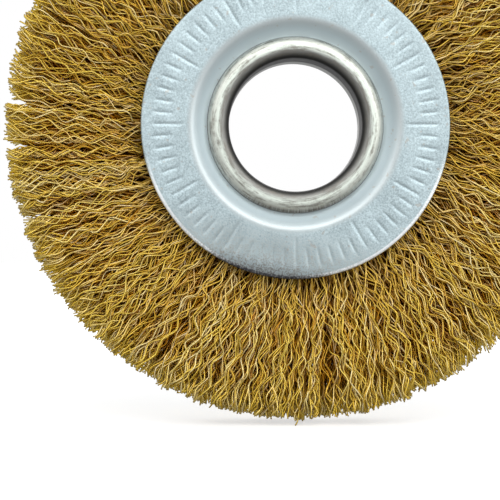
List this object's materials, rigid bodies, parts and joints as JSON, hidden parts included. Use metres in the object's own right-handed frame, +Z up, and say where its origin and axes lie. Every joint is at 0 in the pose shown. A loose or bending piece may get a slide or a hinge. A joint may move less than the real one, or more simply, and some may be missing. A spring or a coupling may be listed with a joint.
{
  "type": "wire wheel brush",
  "caption": "Crimped wire wheel for a bench grinder: two pressed plates and a rolled arbor sleeve clamp hairpin tufts of brass-coated wire folded over a core ring.",
  "frame": {"origin": "centre of the wheel, on the arbor bore's axis in the middle plane", "axes": "+Y along the arbor bore, from the front plate to the rear plate; +Z up; the front plate faces -Y"},
  "size_m": [0.1408, 0.0198, 0.1409],
  "materials": {
    "zinc_plate": "zinc-plated pressed steel, fine mottled grain",
    "rolled_sleeve": "bare rolled steel, drawn bright round the bead with brownish streaks",
    "ring_wire": "plain drawn steel wire, hidden",
    "crimped_wire": "brass-coated steel wire, crimped, with bare cut ends"
  },
  "bodies": {
    "root": {"front_plate": "zinc_plate", "rear_plate": "zinc_plate", "arbor_sleeve": "rolled_sleeve", "core_ring": "ring_wire", "wire_tufts_01": "crimped_wire", "wire_tufts_02": "crimped_wire", "wire_tufts_03": "crimped_wire", "wire_tufts_04": "crimped_wire", "wire_tufts_05": "crimped_wire", "wire_tufts_06": "crimped_wire", "wire_tufts_07": "crimped_wire", "wire_tufts_08": "crimped_wire", "wire_tufts_09": "crimped_wire", "wire_tufts_10": "crimped_wire", "wire_tufts_11": "crimped_wire", "wire_tufts_12": "crimped_wire", "wire_tufts_13": "crimped_wire", "wire_tufts_14": "crimped_wire", "wire_tufts_15": "crimped_wire", "wire_tufts_16": "crimped_wire", "wire_tufts_17": "crimped_wire", "wire_tufts_18": "crimped_wire", "wire_tufts_19": "crimped_wire", "wire_tufts_20": "crimped_wire", "wire_tufts_21": "crimped_wire", "wire_tufts_22": "crimped_wire", "wire_tufts_23": "crimped_wire", "wire_tufts_24": "crimped_wire", "wire_tufts_25": "crimped_wire", "wire_tufts_26": "crimped_wire", "wire_tufts_27": "crimped_wire", "wire_tufts_28": "crimped_wire", "wire_tufts_29": "crimped_wire", "wire_tufts_30": "crimped_wire"}
  },
  "joints": []
}
